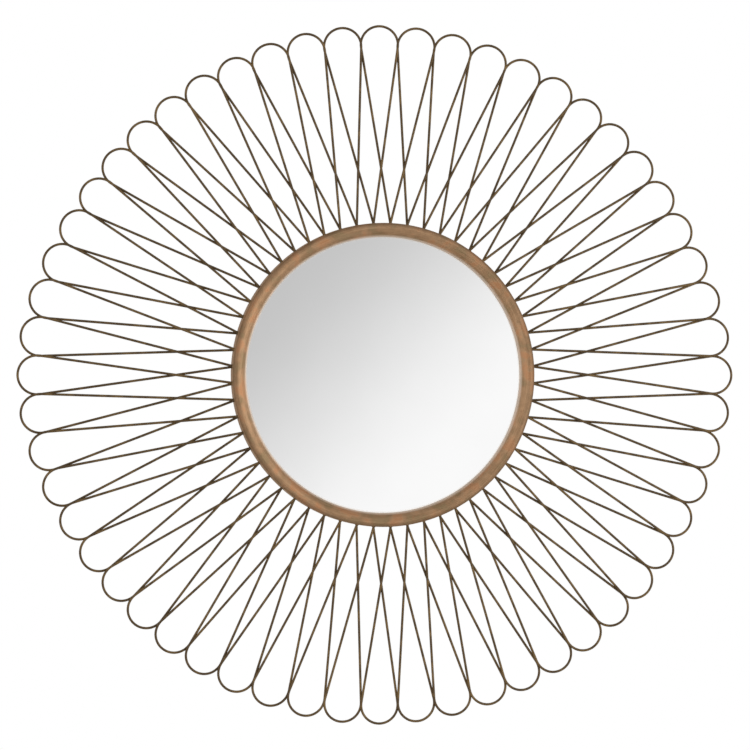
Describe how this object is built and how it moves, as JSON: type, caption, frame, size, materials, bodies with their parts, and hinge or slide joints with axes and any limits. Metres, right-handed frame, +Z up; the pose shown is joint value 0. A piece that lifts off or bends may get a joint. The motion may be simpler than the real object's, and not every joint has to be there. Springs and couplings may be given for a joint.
{
  "type": "wall mirror",
  "caption": "Round wall mirror in a bronze-painted metal ring, with a wide sunburst of crossed wire loops around it; hangs on one screw.",
  "frame": {"origin": "on the hanger plate's wall face, just under its keyhole", "axes": "+Z up, -Y out of the wall towards the room, +X to the viewer's right"},
  "size_m": [0.8273, 0.0265, 0.8023],
  "materials": {
    "bronze_paint": "satin antique bronze-gold paint, brushed on and slightly mottled",
    "wire_paint": "satin dark bronze paint on round steel wire",
    "silvered_glass": "clear flat glass, silvered behind",
    "hardboard": "plain pressed hardboard",
    "zinc_steel": "bright zinc plate"
  },
  "bodies": {
    "root": {"mirror_frame": "bronze_paint", "mirror_glass": "silvered_glass", "backing_board": "hardboard", "hanger_plate": "zinc_steel", "wire_loop_01": "wire_paint", "wire_loop_02": "wire_paint", "wire_loop_03": "wire_paint", "wire_loop_04": "wire_paint", "wire_loop_05": "wire_paint", "wire_loop_06": "wire_paint", "wire_loop_07": "wire_paint", "wire_loop_08": "wire_paint", "wire_loop_09": "wire_paint", "wire_loop_10": "wire_paint", "wire_loop_11": "wire_paint", "wire_loop_12": "wire_paint", "wire_loop_13": "wire_paint", "wire_loop_14": "wire_paint", "wire_loop_15": "wire_paint", "wire_loop_16": "wire_paint", "wire_loop_17": "wire_paint", "wire_loop_18": "wire_paint", "wire_loop_19": "wire_paint", "wire_loop_20": "wire_paint", "wire_loop_21": "wire_paint", "wire_loop_22": "wire_paint", "wire_loop_23": "wire_paint", "wire_loop_24": "wire_paint", "wire_loop_25": "wire_paint", "wire_loop_26": "wire_paint", "wire_loop_27": "wire_paint", "wire_loop_28": "wire_paint", "wire_loop_29": "wire_paint", "wire_loop_30": "wire_paint", "wire_loop_31": "wire_paint", "wire_loop_32": "wire_paint", "wire_loop_33": "wire_paint", "wire_loop_34": "wire_paint", "wire_loop_35": "wire_paint", "wire_loop_36": "wire_paint", "wire_loop_37": "wire_paint", "wire_loop_38": "wire_paint", "wire_loop_39": "wire_paint", "wire_loop_40": "wire_paint", "wire_loop_41": "wire_paint", "wire_loop_42": "wire_paint", "wire_loop_43": "wire_paint", "wire_loop_44": "wire_paint", "wire_loop_45": "wire_paint", "wire_loop_46": "wire_paint", "wire_loop_47": "wire_paint", "wire_loop_48": "wire_paint", "wire_loop_49": "wire_paint", "wire_loop_50": "wire_paint", "wire_loop_51": "wire_paint", "wire_loop_52": "wire_paint", "wire_loop_53": "wire_paint", "wire_loop_54": "wire_paint", "wire_loop_55": "wire_paint", "wire_loop_56": "wire_paint"}
  },
  "joints": []
}
